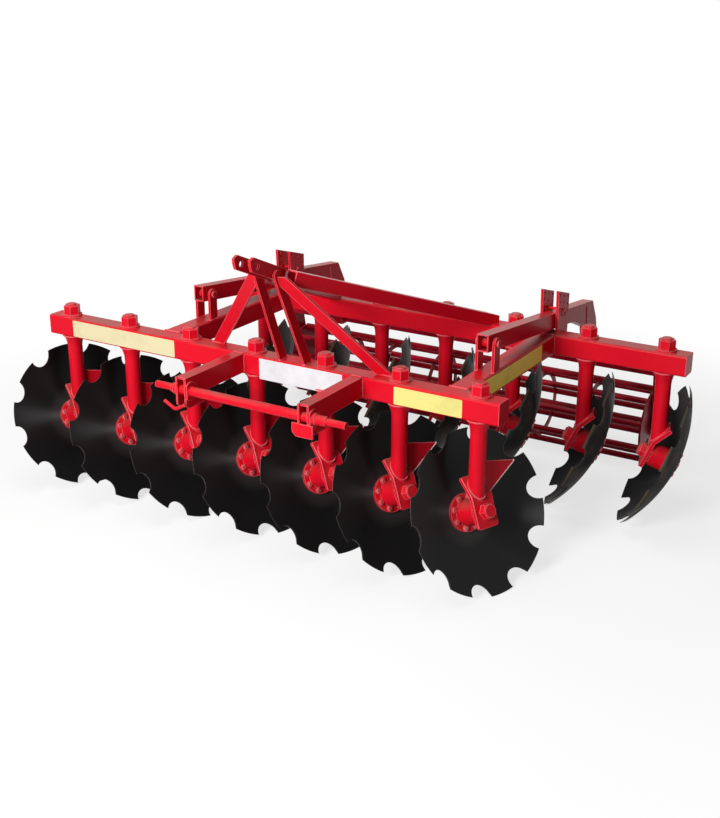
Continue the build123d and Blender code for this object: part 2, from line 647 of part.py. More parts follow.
# Cross tube, and the end plates that hang from it with the roller's bearings
plate_in = ROLLER_HALF + END_PLATE_GAP
cross = rounded_tube(2 * plate_in, CROSS_W, CROSS_W, CROSS_WALL, CROSS_CORNER)
save("roller_cross_tube", Pos(FRAME_X, cross_y, CROSS_Z) * cross)
roller_y = cross_y + ROLLER_TRAIL
with BuildSketch() as hanger:
    with Locations((cross_y, CROSS_Z)):
        Rectangle(CROSS_W, CROSS_W)
    with Locations((roller_y, ROLLER_R)):
        Circle(BEARING_R + END_PLATE_T)
    make_hull()
end_plates = []
for side in (-1, 1):
    plate = extrude(Plane.YZ * hanger.sketch, amount=END_PLATE_T / 2, both=True)
    housing_x = side * (END_PLATE_T / 2 + (BEARING_L - END_PLATE_T) / 2)
    plate += Pos(housing_x, roller_y, ROLLER_R) * across(BEARING_R, BEARING_L - END_PLATE_T)
    plate -= Pos(0, roller_y, ROLLER_R) * across(JOURNAL_R + RUNNING_FIT, 4 * BEARING_L)
    end_plates.append(Pos(FRAME_X + side * (plate_in + END_PLATE_T / 2), 0, 0) * plate)
save("roller_end_plates", Compound(children=end_plates))

# Roller: round bars let into two end discs and a row of hoops, on a through shaft
roller_place = Pos(FRAME_X, roller_y, ROLLER_R) * Rot(0, 90, 0)
shaft = Cylinder(SHAFT_R, 2 * ROLLER_HALF) + Cylinder(JOURNAL_R, 2 * (plate_in + BEARING_L))
save("roller_shaft", roller_place * shaft)
slat = Cylinder(SLAT_R, 2 * ROLLER_HALF)
slat_places = PolarLocations(SLAT_CIRCLE_R, ROLLER_SLATS, start_angle=180.0 - FIRST_SLAT)
slats = [roller_place * place * slat for place in slat_places]
save("roller_slats", Compound(children=slats))
end_disc = Cylinder(END_DISC_R, END_DISC_T) - Cylinder(SHAFT_R, 2 * END_DISC_T)
hoop = Cylinder(HOOP_OUT_R, HOOP_T) - Cylinder(HOOP_OUT_R - HOOP_W, 2 * HOOP_T)
for place in slat_places:
    end_disc -= place * slat
    hoop -= place * slat
rings = [Pos(0, 0, side * (ROLLER_HALF - END_DISC_T / 2)) * end_disc for side in (-1, 1)]
hoop_gap = 2 * ROLLER_HALF / (HOOPS + 1)
rings += [Pos(0, 0, hoop_gap * (number + 1) - ROLLER_HALF) * hoop for number in range(HOOPS)]
save("roller_rings", Compound(children=[roller_place * ring for ring in rings]))
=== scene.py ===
import json
import math

import bpy
import numpy as np
from mathutils import Matrix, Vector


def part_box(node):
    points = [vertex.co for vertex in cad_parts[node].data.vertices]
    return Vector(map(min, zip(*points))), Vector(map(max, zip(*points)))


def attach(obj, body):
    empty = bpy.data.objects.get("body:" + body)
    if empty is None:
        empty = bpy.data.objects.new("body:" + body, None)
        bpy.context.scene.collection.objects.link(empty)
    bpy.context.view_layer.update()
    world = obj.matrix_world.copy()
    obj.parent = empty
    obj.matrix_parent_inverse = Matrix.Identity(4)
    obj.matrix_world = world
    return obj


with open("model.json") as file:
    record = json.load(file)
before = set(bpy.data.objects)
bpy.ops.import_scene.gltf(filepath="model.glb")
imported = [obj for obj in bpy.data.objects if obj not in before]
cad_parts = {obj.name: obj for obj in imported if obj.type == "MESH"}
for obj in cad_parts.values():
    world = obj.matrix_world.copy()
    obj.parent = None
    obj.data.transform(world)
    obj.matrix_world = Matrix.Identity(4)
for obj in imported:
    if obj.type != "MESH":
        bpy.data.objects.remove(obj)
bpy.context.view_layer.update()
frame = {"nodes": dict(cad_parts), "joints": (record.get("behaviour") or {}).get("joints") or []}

# Camera: where the photograph was taken from, in metres on the harrow's own axes
CAMERA_PLACE = (2.670, -4.551, 2.339)
CAMERA_AZIMUTH = 31.3503
CAMERA_DIP = 20.6388
CAMERA_ROLL = 0.0968
LENS_PIXELS = 1222.7877
PICTURE_HEIGHT = 818.0
SENSOR_HEIGHT = 36.0
FARTHEST_SEEN = 100.0

# Places taken from the frame: the beams, the side rails, the ears on them and the discs' joints
X, Y, Z = range(3)
front_low, front_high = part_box("front_beam")
rear_low, rear_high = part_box("rear_beam")
rails_low, rails_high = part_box("side_rails")
ears_low, ears_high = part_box("arm_ears")
BEAM_UNDER = front_low[Z]
BEAM_TOP = front_high[Z]
TUBE_HALF = (BEAM_TOP - BEAM_UNDER) / 2.0
RAILS = (rails_low[X] + TUBE_HALF, rails_high[X] - TUBE_HALF)
UNITS = [joint for joint in frame["joints"] if joint["name"].startswith("disc_turn_")]

# Meshes: where two faces meet at more than this, the edge between them stays sharp
SHARP_ANGLE = math.radians(35.0)

# Flange bolts: heads on each hub's flange and nuts behind its disc, along the axle from the joint
FLANGE_BOLTS = 8
FLANGE_BOLT_CIRCLE = 0.0625
FLANGE_TOP = -0.083
DISC_BACK = -0.101
BOLT_SIDES = 6
BOLT_PROFILE = [(0.0001, 0.0085), (0.0088, 0.0085), (0.0108, 0.0068), (0.0108, 0.0022),
                (0.0135, 0.0022), (0.0135, 0.0), (0.0001, 0.0)]

# Weld ropes: the drops' pitch and swell, and the radius of each kind
ROPE_STEP = 0.0022
ROPE_PITCH = 0.0065
ROPE_THIN = 0.86
ROPE_SWELL = 0.26
ROPE_END = 0.2
ROPE_SIDES = 8
ROPE_ASKEW = (0.31, 0.17, 0.93)
MAIN_ROPE = 0.004
SEAM_ROPE = 0.0035
FOOT_ROPE = 0.0036
EAR_ROPE = 0.003
ELBOW_ROPE = 0.0028
EDGE_ROPE = 0.0026
# The wing rope is no weld: it carries a painted highlight along each wing's sloping edge.
WING_ROPE = 0.0042
RING_SIDES = 40

# Post: its round bar and collar, the bent plate's leg and edge, and its wing's slope as (out, high)
POST_R = 0.033
ROPE_GAP = 0.001
COLLAR_R = 0.0475
COLLAR_H = 0.052
COLLAR_SKIN = 0.0004
COLLAR_BEND = 1.7
COLLAR_ROWS = 14
AXLE_OFFSET = 0.018
LEG_START = (0.064, 0.026)
LEG_TILT = math.radians(25.0)
LEG_SKIN = 0.008
LEG_LONG = 0.086
PLATE_FRONT = 0.0335
PLATE_EDGE = -0.0495
FOOT_LOW = -0.058
WING_TIP = (0.191, 0.472)
WING_HEEL = (0.060, 0.364)

# Frame seams: tube corners, ears, depth plates, hitch channels and the mast's feet
TUBE_CORNER = 0.010
SEAM_INSET = 0.002
EAR_OUT = 0.036
EAR_HALF = 0.006
DEPTH_PLATE_FOOT = 0.252
HITCH_MIDDLE = 0.023
HITCH_OUT = 0.287
CHANNEL_HALF = 0.025
CHANNEL_TOP_HALF = 0.024
INNER_FEET = (-0.062, 0.0575)
INNER_FOOT_HALF = 0.005
INNER_FOOT_SPAN = (-0.697, -0.647)
OUTER_FEET = (-0.417, 0.397)
OUTER_FOOT_HALF = 0.030
OUTER_FOOT_SPAN = (-0.637, -0.623)

# Arm seams as (y, z): the elbow's two ends, and a line across the leg's front at the cross tube's top
ARM_HALF = 0.025
ELBOW_PROUD = 0.0002
ELBOW_SEAM = ((0.628, 0.799), (0.640, 0.705))
LEG_SEAM = (0.744, 0.541)

# Blank plates on the front beam's face and on one rail; a foil's rings are (inset, lift, shrink)
FOIL_SIDES = 48
FOIL_CORNER = 0.004
FOIL_THICK = 0.0008
FOIL_ROUNDING = 0.0004
FOIL_RINGS = ((0.0, 0.0, 1.0), (0.0, FOIL_THICK * 0.6, 1.0), (FOIL_ROUNDING, FOIL_THICK, 1.0),
              (FOIL_ROUNDING, FOIL_THICK, 0.6), (FOIL_ROUNDING, FOIL_THICK, 0.001))
FRONT_WAYS = ((1.0, 0.0, 0.0), (0.0, 0.0, 1.0))
SIDE_WAYS = ((0.0, 1.0, 0.0), (0.0, 0.0, 1.0))
FOILS = [
    {"name": "left_plate", "colour": (0.60, 0.52, 0.31), "soiled": (0.47, 0.39, 0.22),
     "ways": FRONT_WAYS, "middle": (-0.901, front_low[Y], 0.730), "size": (0.586, 0.075)},
    {"name": "middle_plate", "colour": (0.61, 0.60, 0.62), "soiled": (0.48, 0.46, 0.48),
     "ways": FRONT_WAYS, "middle": (0.040, front_low[Y], 0.7225), "size": (0.402, 0.089)},
    {"name": "right_plate", "colour": (0.64, 0.57, 0.17), "soiled": (0.50, 0.42, 0.12),
     "ways": FRONT_WAYS, "middle": (0.623, front_low[Y], 0.727), "size": (0.295, 0.072)},
    # The side plate's yellow is raised close to full brightness: painted light, so that it looks bright on
    # the side that faces away from the lamps.
    {"name": "side_plate", "colour": (0.98, 0.74, 0.11), "soiled": (0.70, 0.48, 0.08),
     "ways": SIDE_WAYS, "middle": (rails_high[X], -0.204, 0.732), "size": (0.562, 0.071)},
]

# Colours of the finishes, and the radii on a disc where two of them begin and are full
# Brown that faces looking up turn to, over the red.
BROWN_ON_RED_TOPS = (0.23, 0.10, 0.075)
ENAMEL_DEEP = (0.002, 0.002, 0.0022)
ENAMEL_LIGHT = (0.006, 0.0055, 0.0055)
# Round the hub: a lighter ringed colour, partly turned steel and partly a painted sheen.
TURNED_MIDDLE_AND_SHEEN = (0.05, 0.042, 0.042)
DRY_SOIL = (0.075, 0.05, 0.03)
GROUND_STEEL = (0.12, 0.085, 0.045)
WORN_ENAMEL = (0.11, 0.10, 0.09)
BOLT_DEEP = (0.46, 0.02, 0.03)
BOLT_LIGHT = (0.66, 0.12, 0.13)
# Bolt edges: rubbed paint and a painted highlight.
BOLT_RUB_AND_HIGHLIGHT = (0.95, 0.78, 0.76)
GROUND_SPAN = (0.3205, 0.3235)
MIDDLE_SPAN = (0.145, 0.085)

# Studio: the floor, the world's fill and the soft lights
WHITE = (1.0, 1.0, 1.0, 1.0)
FLOOR_HALF = 30.0
FLOOR_COLOUR = 0.9
FLOOR_BOUNCE = 0.42
FLOOR_FADE = (1.7, 3.0)
FLOOR_LIFT = 0.72
WORLD_FILL = 0.16
SOFT_LIGHTS = [
    {"name": "front soft light", "place": (-0.2, -6.2, 3.0), "aim": (-0.1, 0.0, 0.5), "size": 2.0,
     "power": 485.0},
    {"name": "top soft light", "place": (-0.6, -0.5, 5.0), "aim": (0.0, 0.0, 0.5), "size": 3.0,
     "power": 80.0},
]


# Mesh making: every shape is a grid of points worked out as whole arrays
def grid_faces(rows, cols):
    """Quads between neighbours of a rows x cols grid whose last column joins its first."""
    i, j = np.meshgrid(np.arange(rows - 1), np.arange(cols), indexing="ij")
    j2 = (j + 1) % cols
    corners = [i * cols + j, i * cols + j2, (i + 1) * cols + j2, (i + 1) * cols + j]
    return np.stack(corners, axis=-1).reshape(-1, 4)


def turned(profile, sides):
    """Surface of revolution about Z: each (r, z) of the profile goes round as (r cos t, r sin t, z)."""
    t = np.arange(sides) * 2.0 * math.pi / sides
    r = np.asarray(profile)[:, 0][:, None]
    z = np.asarray(profile)[:, 1][:, None]
    points = np.stack([r * np.cos(t), r * np.sin(t), z + 0.0 * t], axis=-1)
    return points.reshape(-1, 3), grid_faces(len(profile), sides)


def carried(points, origin, x_way, y_way, z_way):
    """Moves points from a piece's own frame to the harrow: origin + x X + y Y + z Z."""
    return np.asarray(origin) + points @ np.array([x_way, y_way, z_way])


def frame_along(z_way):
    """Two ways square to z_way, which leans, and to each other, the first level, and z_way at length 1."""
    z = np.asarray(z_way, float)
    z = z / np.linalg.norm(z)
    flat = np.cross([0.0, 0.0, 1.0], z)
    flat = flat / np.linalg.norm(flat)
    return flat, np.cross(z, flat), z


def placed_at(made, x_way, y_way, z_way, place):
    """Turns a camera or a lamp to these three ways and sets it at its place."""
    rows = [[x_way[i], y_way[i], z_way[i], place[i]] for i in range(3)]
    made.matrix_world = Matrix(rows + [[0.0, 0.0, 0.0, 1.0]])


def joined(parts):
    """One set of points and quads from several, each with its count added to its corners."""
    starts = np.cumsum([0] + [len(points) for points, faces in parts])
    faces = [part_faces + start for (points, part_faces), start in zip(parts, starts)]
    return np.concatenate([points for points, part_faces in parts]), np.concatenate(faces)


def piece(name, parts, material, body, smooth=True):
    """A mesh object whose place is in its mesh, on the body that carries it."""
    points, faces = joined(parts)
    mesh = bpy.data.meshes.new(name)
    mesh.from_pydata(points.tolist(), [], faces.tolist())
    mesh.validate()
    if smooth:
        mesh.shade_smooth()
        mesh.set_sharp_from_angle(angle=SHARP_ANGLE)
    mesh.materials.append(material)
    made = bpy.data.objects.new(name, mesh)
    bpy.context.scene.collection.objects.link(made)
    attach(made, body)


# Shader nodes
def node(tree, kind, **values):
    """A shader node; each value is one of its settings or, with _ for a space, one of its inputs."""
    made = tree.nodes.new("ShaderNode" + kind)
    for key, value in values.items():
        if hasattr(made, key):
            setattr(made, key, value)
        else:
            made.inputs[key.replace("_", " ")].default_value = value
    return made


def fed(tree, kind, output, feeds, **values):
    """One output of a new node whose inputs are fed by sockets, given as {input: socket}."""
    made = node(tree, kind, **values)
    for key, socket in feeds.items():
        tree.links.new(socket, made.inputs[key])
    return made.outputs[output]


def own_place(tree):
    return node(tree, "TexCoord").outputs["Object"]


def face_way(tree):
    return node(tree, "NewGeometry").outputs["Normal"]


def ranged(tree, value, start, end, low=0.0, high=1.0):
    """Carries start..end evenly to low..high and holds it there at both ends."""
    return fed(tree, "MapRange", "Result", {"Value": value}, From_Min=start, From_Max=end,
               To_Min=low, To_Max=high)


def times(tree, first, second):
    return fed(tree, "Math", "Value", {0: first, 1: second}, operation="MULTIPLY")


def mix_colour(tree, mask, low, high):
    """Colour between low and high by a mask; low or high is a colour or a socket."""
    made = node(tree, "Mix", data_type="RGBA")
    tree.links.new(mask, made.inputs["Factor"])
    for socket, value in ((made.inputs[6], low), (made.inputs[7], high)):
        if isinstance(value, tuple):
            socket.default_value = (*value, 1.0)
        else:
            tree.links.new(value, socket)
    return made.outputs[2]


def mix_shader(tree, mask, low, high):
    return fed(tree, "MixShader", "Shader", {"Fac": mask, 1: low, 2: high})


def raise_surface(tree, shader, height, strength, distance):
    """Feeds the shader's normal with a bump of this height."""
    bumped = fed(tree, "Bump", "Normal", {"Height": height}, Strength=strength, Distance=distance)
    tree.links.new(bumped, shader.inputs["Normal"])


def group(name, inputs, outputs):
    """A node group with inputs (name, kind, value) and outputs (name, kind), and its two end nodes."""
    made = bpy.data.node_groups.new(name, "ShaderNodeTree")
    for label, kind, value in inputs:
        socket = made.interface.new_socket(label, in_out="INPUT", socket_type="NodeSocket" + kind)
        if value is not None:
            socket.default_value = value
    for label, kind in outputs:
        made.interface.new_socket(label, in_out="OUTPUT", socket_type="NodeSocket" + kind)
    into = made.nodes.new("NodeGroupInput")
    out = made.nodes.new("NodeGroupOutput")
    return made, into.outputs, out.inputs


def use_group(tree, made, **values):
    """Places a group in a material and gives back its outputs."""
    placed = tree.nodes.new("ShaderNodeGroup")
    placed.node_tree = made
    for key, value in values.items():
        placed.inputs[key.replace("_", " ")].default_value = value
    return placed.outputs


def new_material(name):
    made = bpy.data.materials.new(name)
    made.use_nodes = True
    shader = made.node_tree.nodes["Principled BSDF"]
    return made, made.node_tree, shader


# Effects that more than one finish uses
def edge_rub_and_highlight_group():
    """Mask that is 1 on outward corners: how far the rounded normal leans from the face's own."""
    made, into, out = group("rubbed and highlit edges", [("Width", "Float", 0.004), ("Breakup", "Float", 14.0)],
                            [("Mask", "Float")])
    rounded = fed(made, "Bevel", "Normal", {"Radius": into["Width"]}, samples=6)
    lean = fed(made, "VectorMath", "Value", {0: rounded, 1: face_way(made)}, operation="DOT_PRODUCT")
    patches = fed(made, "TexNoise", "Fac", {"Vector": own_place(made), "Scale": into["Breakup"]},
                  Detail=3.0)
    corner_rub_and_light = ranged(made, lean, 0.995, 0.86)
    made.links.new(times(made, corner_rub_and_light, ranged(made, patches, 0.35, 0.6, low=0.45)), out["Mask"])
    return made


def upward_browning_group():
    """Mask for a browner colour on faces that look up: normal z from 0.2 to 1, times noise, times the
    amount.
    """
    made, into, out = group("browner upward faces", [("Amount", "Float", 0.5), ("Scale", "Float", 6.0)],
                            [("Mask", "Float")])
    height = fed(made, "SeparateXYZ", "Z", {"Vector": face_way(made)})
    clouds = fed(made, "TexNoise", "Fac", {"Vector": own_place(made), "Scale": into["Scale"]},
                 Detail=6.0, Roughness=0.65)
    lying = times(made, ranged(made, height, 0.2, 1.0), ranged(made, clouds, 0.38, 0.72))
    made.links.new(times(made, lying, into["Amount"]), out["Mask"])
    return made


def paint_skin_group():
    """Height of a thick coat's soft waves, and a slow tint that wanders over a long piece."""
    made, into, out = group("paint skin",
                            [("Wave Scale", "Float", 60.0), ("Tint Scale", "Float", 2.5)],
                            [("Height", "Float"), ("Tint", "Float")])
    place = own_place(made)
    waves = fed(made, "TexNoise", "Fac", {"Vector": place, "Scale": into["Wave Scale"]}, Detail=2.0)
    slow = fed(made, "TexNoise", "Fac", {"Vector": place, "Scale": into["Tint Scale"]}, Detail=4.0,
               Roughness=0.6)
    made.links.new(waves, out["Height"])
    made.links.new(slow, out["Tint"])
    return made


def disc_rings_group():
    """Masks from the distance to the axle, r = |(p - centre) x axle|, and from faces that look back."""
    made, into, out = group(
        "disc rings", [("Centre", "Vector", None), ("Axle", "Vector", None)],
        [("Ground Edge", "Float"), ("Back", "Float"), ("Rings", "Float"), ("Middle", "Float")])
    away = fed(made, "VectorMath", "Vector", {0: own_place(made), 1: into["Centre"]},
               operation="SUBTRACT")
    sweep = fed(made, "VectorMath", "Vector", {0: away, 1: into["Axle"]}, operation="CROSS_PRODUCT")
    radius = fed(made, "VectorMath", "Value", {0: sweep}, operation="LENGTH")
    facing = fed(made, "VectorMath", "Value", {0: face_way(made), 1: into["Axle"]},
                 operation="DOT_PRODUCT")
    rings = fed(made, "TexNoise", "Fac", {"W": radius}, noise_dimensions="1D", Scale=260.0,
                Detail=5.0, Roughness=0.7)
    made.links.new(ranged(made, radius, *GROUND_SPAN), out["Ground Edge"])
    made.links.new(ranged(made, radius, *MIDDLE_SPAN), out["Middle"])
    made.links.new(ranged(made, facing, 0.1, -0.3), out["Back"])
    made.links.new(rings, out["Rings"])
    return made


EDGE_RUB_AND_HIGHLIGHT = edge_rub_and_highlight_group()
UPWARD_BROWNING = upward_browning_group()
PAINT_SKIN = paint_skin_group()
DISC_RINGS = disc_rings_group()


# Finishes
def red_paint(name, dark, bright, edge, browning_amount, wave=60.0):
    """Thick gloss coat: slow tint, thin rubbed edges that also carry a painted highlight, a browner colour
    on what looks up, soft waves.
    """
    made, tree, shader = new_material(name)
    skin = use_group(tree, PAINT_SKIN, Wave_Scale=wave)
    edge_rub_and_light = use_group(tree, EDGE_RUB_AND_HIGHLIGHT, Width=0.0038)
    browning = use_group(tree, UPWARD_BROWNING, Amount=browning_amount)
    base = mix_colour(tree, skin["Tint"], dark, bright)
    # The edge colour is partly rubbed paint and partly a painted highlight along every outward corner.
    edged = mix_colour(tree, edge_rub_and_light["Mask"], base, edge)
    # Faces that look up turn browner in noisy patches.
    browned = mix_colour(tree, browning["Mask"], edged, BROWN_ON_RED_TOPS)
    tree.links.new(browned, shader.inputs["Base Color"])
    rough = ranged(tree, skin["Tint"], 0.0, 1.0, low=0.2, high=0.4)
    tree.links.new(rough, shader.inputs["Roughness"])
    shader.inputs["Specular IOR Level"].default_value = 0.08
    raise_surface(tree, shader, skin["Height"], strength=0.14, distance=0.002)
    return made


def disc_enamel(name, centre, axle):
    """Black enamel over turned steel: fine rings round the axle draw its gloss out in a line from the
    middle, and a lighter ringed colour round the middle is partly turned steel and partly a painted
    sheen; the edge is ground bare, and soil lies behind."""
    made, tree, shader = new_material(name)
    place = own_place(tree)
    skin = use_group(tree, PAINT_SKIN, Wave_Scale=90.0, Tint_Scale=7.0)
    rings = use_group(tree, DISC_RINGS, Centre=tuple(centre), Axle=tuple(axle))
    edge_rub_and_light = use_group(tree, EDGE_RUB_AND_HIGHLIGHT, Width=0.003, Breakup=9.0)
    clouds = fed(tree, "TexNoise", "Fac", {"Vector": place}, Scale=11.0, Detail=5.0, Roughness=0.7)
    middle_rings_and_sheen = times(tree, rings["Middle"], rings["Rings"])
    soil = times(tree, rings["Back"], ranged(tree, clouds, 0.46, 0.74))
    bare = times(tree, rings["Ground Edge"], rings["Back"])
    base = mix_colour(tree, skin["Tint"], ENAMEL_DEEP, ENAMEL_LIGHT)
    # Round the hub the enamel is lightened in rings: partly turned steel, partly a painted sheen.
    with_middle_sheen = mix_colour(tree, middle_rings_and_sheen, base, TURNED_MIDDLE_AND_SHEEN)
    soiled = mix_colour(tree, soil, with_middle_sheen, DRY_SOIL)
    ground = mix_colour(tree, bare, soiled, GROUND_STEEL)
    edged = mix_colour(tree, edge_rub_and_light["Mask"], ground, WORN_ENAMEL)
    tree.links.new(edged, shader.inputs["Base Color"])
    rough = ranged(tree, rings["Rings"], 0.0, 1.0, low=0.50, high=0.62)
    tree.links.new(rough, shader.inputs["Roughness"])
    shader.inputs["Specular IOR Level"].default_value = 0.27
    shader.inputs["Anisotropic"].default_value = 1.0
    away = node(tree, "VectorMath", operation="SUBTRACT")
    away.inputs[1].default_value = tuple(centre)
    tree.links.new(place, away.inputs[0])
    tree.links.new(away.outputs["Vector"], shader.inputs["Tangent"])
    raise_surface(tree, shader, rings["Rings"], strength=0.12, distance=0.0006)
    return made


def bolt_steel():
    """Painted bolt heads, rubbed bright along their edges, where a painted highlight lies too."""
    made, tree, shader = new_material("plated bolt steel")
    skin = use_group(tree, PAINT_SKIN, Wave_Scale=150.0, Tint_Scale=40.0)
    edge_rub_and_light = use_group(tree, EDGE_RUB_AND_HIGHLIGHT, Width=0.001, Breakup=60.0)
    base = mix_colour(tree, skin["Tint"], BOLT_DEEP, BOLT_LIGHT)
    # The pale edge colour is partly rubbed paint and partly a painted highlight.
    edged = mix_colour(tree, edge_rub_and_light["Mask"], base, BOLT_RUB_AND_HIGHLIGHT)
    tree.links.new(edged, shader.inputs["Base Color"])
    shader.inputs["Roughness"].default_value = 0.2
    shader.inputs["Metallic"].default_value = 0.3
    return made


def plate_foil(name, colour, soiled):
    """Blank foil on painted steel: nearly even colour, faint stains, a little lift in the foil."""
    made, tree, shader = new_material(name)
    skin = use_group(tree, PAINT_SKIN, Wave_Scale=45.0, Tint_Scale=9.0)
    stains = ranged(tree, skin["Tint"], 0.5, 0.85)
    tree.links.new(mix_colour(tree, stains, colour, soiled), shader.inputs["Base Color"])
    shader.inputs["Roughness"].default_value = 0.5
    raise_surface(tree, shader, skin["Height"], strength=0.05, distance=0.001)
    return made


# Each red's edge colour is partly rubbed paint and partly a painted highlight.
RED = red_paint("red gloss paint", dark=(0.50, 0.003, 0.012), bright=(0.66, 0.006, 0.020),
                edge=(0.88, 0.22, 0.25), browning_amount=0.85)
ROLLER_RED = red_paint("dull red roller paint", dark=(0.30, 0.002, 0.012), bright=(0.46, 0.005, 0.022),
                       edge=(0.55, 0.06, 0.07), browning_amount=0.3)
WELD_RED = red_paint("painted weld", dark=(0.52, 0.006, 0.018), bright=(0.70, 0.03, 0.05),
                     edge=(0.86, 0.34, 0.36), browning_amount=0.1, wave=220.0)
# Near-white pink for the ropes along the wings' sloping edges: a painted highlight.
WING_HIGHLIGHT_RED = red_paint("painted highlight on wing edge", dark=(0.86, 0.46, 0.48), bright=(0.95, 0.70, 0.72),
                       edge=(0.97, 0.85, 0.85), browning_amount=0.1, wave=220.0)
BOLT_STEEL = bolt_steel()


def paint_solids():
    """Each disc gets enamel whose rings lie round its own axle; the roller is duller than the frame."""
    enamel = {}
    for joint in UNITS:
        disc = joint["child"].replace("disc_unit_", "disc_")
        label = disc.replace("disc_", "disc enamel ").replace("_", " ")
        enamel[disc] = disc_enamel(label, joint["pos_m"], joint["axis"])
    for name, solid in frame["nodes"].items():
        dull = name.startswith("roller_") and name != "roller_arms"
        solid.data.materials.clear()
        solid.data.materials.append(enamel.get(name, ROLLER_RED if dull else RED))


# Pieces on each disc unit
def bolt_head(foot, way):
    """Hexagon with a bevelled top over its washer, turned in six sides from a profile (r, z)."""
    profile = np.array(BOLT_PROFILE) * [1.0, way] + [0.0, foot]
    points, faces = turned(profile, BOLT_SIDES)
    return points, (faces if way < 0 else faces[:, ::-1])


def flange_bolts():
    for joint in UNITS:
        ways = frame_along(joint["axis"])
        parts = []
        for number in range(FLANGE_BOLTS):
            t = 2.0 * math.pi * (number + 0.5) / FLANGE_BOLTS
            around = [FLANGE_BOLT_CIRCLE * math.cos(t), FLANGE_BOLT_CIRCLE * math.sin(t), 0.0]
            for foot, way in ((FLANGE_TOP, 1), (DISC_BACK, -1)):
                points, faces = bolt_head(foot, way)
                parts.append((carried(points + around, joint["pos_m"], *ways), faces))
        piece(joint["child"] + "_bolts", parts, BOLT_STEEL, joint["child"], smooth=False)


# Weld ropes: overlapping drops along a line
def rope(line, radius, closed=False):
    """Tube along a line of points: radius r (thin + swell |sin(pi s / pitch)|) at length s, and r times
    the end's share at both ends."""
    line = np.asarray(line, float)
    if closed:
        line = np.concatenate([line, line[:1]])
    runs = np.linalg.norm(np.diff(line, axis=0), axis=1)
    at = np.concatenate([[0.0], np.cumsum(runs)])
    count = max(4, int(at[-1] / ROPE_STEP))
    s = np.linspace(0.0, at[-1], count)
    centre = np.stack([np.interp(s, at, line[:, k]) for k in range(3)], axis=-1)
    ahead = np.gradient(centre, axis=0)
    ahead /= np.linalg.norm(ahead, axis=1)[:, None]
    side = np.cross(ahead, ROPE_ASKEW)
    side /= np.linalg.norm(side, axis=1)[:, None]
    up = np.cross(side, ahead)
    thick = radius * (ROPE_THIN + ROPE_SWELL * np.abs(np.sin(math.pi * s / ROPE_PITCH)))
    thick[0] = thick[-1] = radius * ROPE_END
    t = (np.arange(ROPE_SIDES) * 2.0 * math.pi / ROPE_SIDES)[None, :, None]
    round_way = np.cos(t) * side[:, None, :] + np.sin(t) * up[:, None, :]
    points = centre[:, None, :] + thick[:, None, None] * round_way
    return points.reshape(-1, 3), grid_faces(count, ROPE_SIDES)[:, ::-1]


def level_ring(centre, radius):
    """Points of a level circle: centre + r (cos t, sin t, 0)."""
    t = np.arange(RING_SIDES) * 2.0 * math.pi / RING_SIDES
    return np.asarray(centre) + radius * np.stack([np.cos(t), np.sin(t), 0.0 * t], axis=-1)


def level_box(middle, half, y_span, z):
    """Corners of a level box round a foot: middle - half to middle + half, between two y."""
    y0, y1 = y_span
    return [(middle - half, y0, z), (middle + half, y0, z), (middle + half, y1, z), (middle - half, y1, z)]


def across(middle, half, y, z):
    """Two ends of a level line across a tube."""
    return [(middle - half, y, z), (middle + half, y, z)]


# Pieces on each post
def post_collar(centre):
    """Collar under the beam, hollow in outline: r = post + (collar - post) (1 - s) ** bend."""
    s = np.linspace(0.0, 1.0, COLLAR_ROWS)
    narrow = POST_R + COLLAR_SKIN
    r = narrow + (COLLAR_R - narrow) * (1.0 - s) ** COLLAR_BEND
    points, faces = turned(np.stack([r, -COLLAR_H * s], axis=-1), RING_SIDES)
    return points + centre, faces[:, ::-1]


def post_foot(origin, post, y_way, z_way):
    """Ring round the post on the leg's face: z = seat z - (step from seat . normal) / normal z."""
    normal = math.sin(LEG_TILT) * y_way + math.cos(LEG_TILT) * z_way
    seat = origin + LEG_START[0] * y_way + LEG_START[1] * z_way + LEG_SKIN * normal
    ring = level_ring(post, POST_R + ROPE_GAP)
    ring[:, 2] = seat[2] - ((ring[:, :2] - seat[:2]) @ normal[:2]) / normal[2]
    return ring


def plate_edge(origin, x_way, y_way, z_way):
    """Edge of the bent plate: from its foot up to the bend, and on along its leg."""
    edge = origin + PLATE_EDGE * x_way + PLATE_FRONT * z_way
    bend = edge + LEG_START[0] * y_way
    leg_way = math.cos(LEG_TILT) * y_way - math.sin(LEG_TILT) * z_way
    return [edge + FOOT_LOW * y_way, bend, bend + LEG_LONG * leg_way]


def wing_slope(post, outward):
    """Sloping edge of the wing plate, from its tip down to its heel."""
    return [(post[X] + out * outward[X], post[Y] + out * outward[Y], high)
            for out, high in (WING_TIP, WING_HEEL)]


def post_pieces():
    ropes = []
    collars = []
    slopes = []
    for joint in UNITS:
        origin = np.array(joint["pos_m"])
        way = 1.0 if joint["axis"][0] > 0.0 else -1.0
        x_way, y_way, z_way = frame_along(joint["axis"])
        post = origin - [way * AXLE_OFFSET, 0.0, 0.0]
        neck = (post[X], post[Y], BEAM_UNDER)
        seam = (post[X], post[Y], BEAM_UNDER - ROPE_GAP)
        ropes.append(rope(post_foot(origin, post, y_way, z_way), FOOT_ROPE, closed=True))
        ropes.append(rope(level_ring(seam, COLLAR_R), SEAM_ROPE, closed=True))
        ropes.append(rope(plate_edge(origin, x_way, y_way, z_way), EDGE_ROPE))
        collars.append(post_collar(neck))
        slopes.append(rope(wing_slope(post, way * x_way), WING_ROPE))
    piece("post_welds", ropes, WELD_RED, "frame")
    piece("post_collars", collars, RED, "frame")
    # Ropes along each wing's sloping edge in near-white pink: a painted highlight.
    piece("wing_edge_highlights", slopes, WING_HIGHLIGHT_RED, "frame")


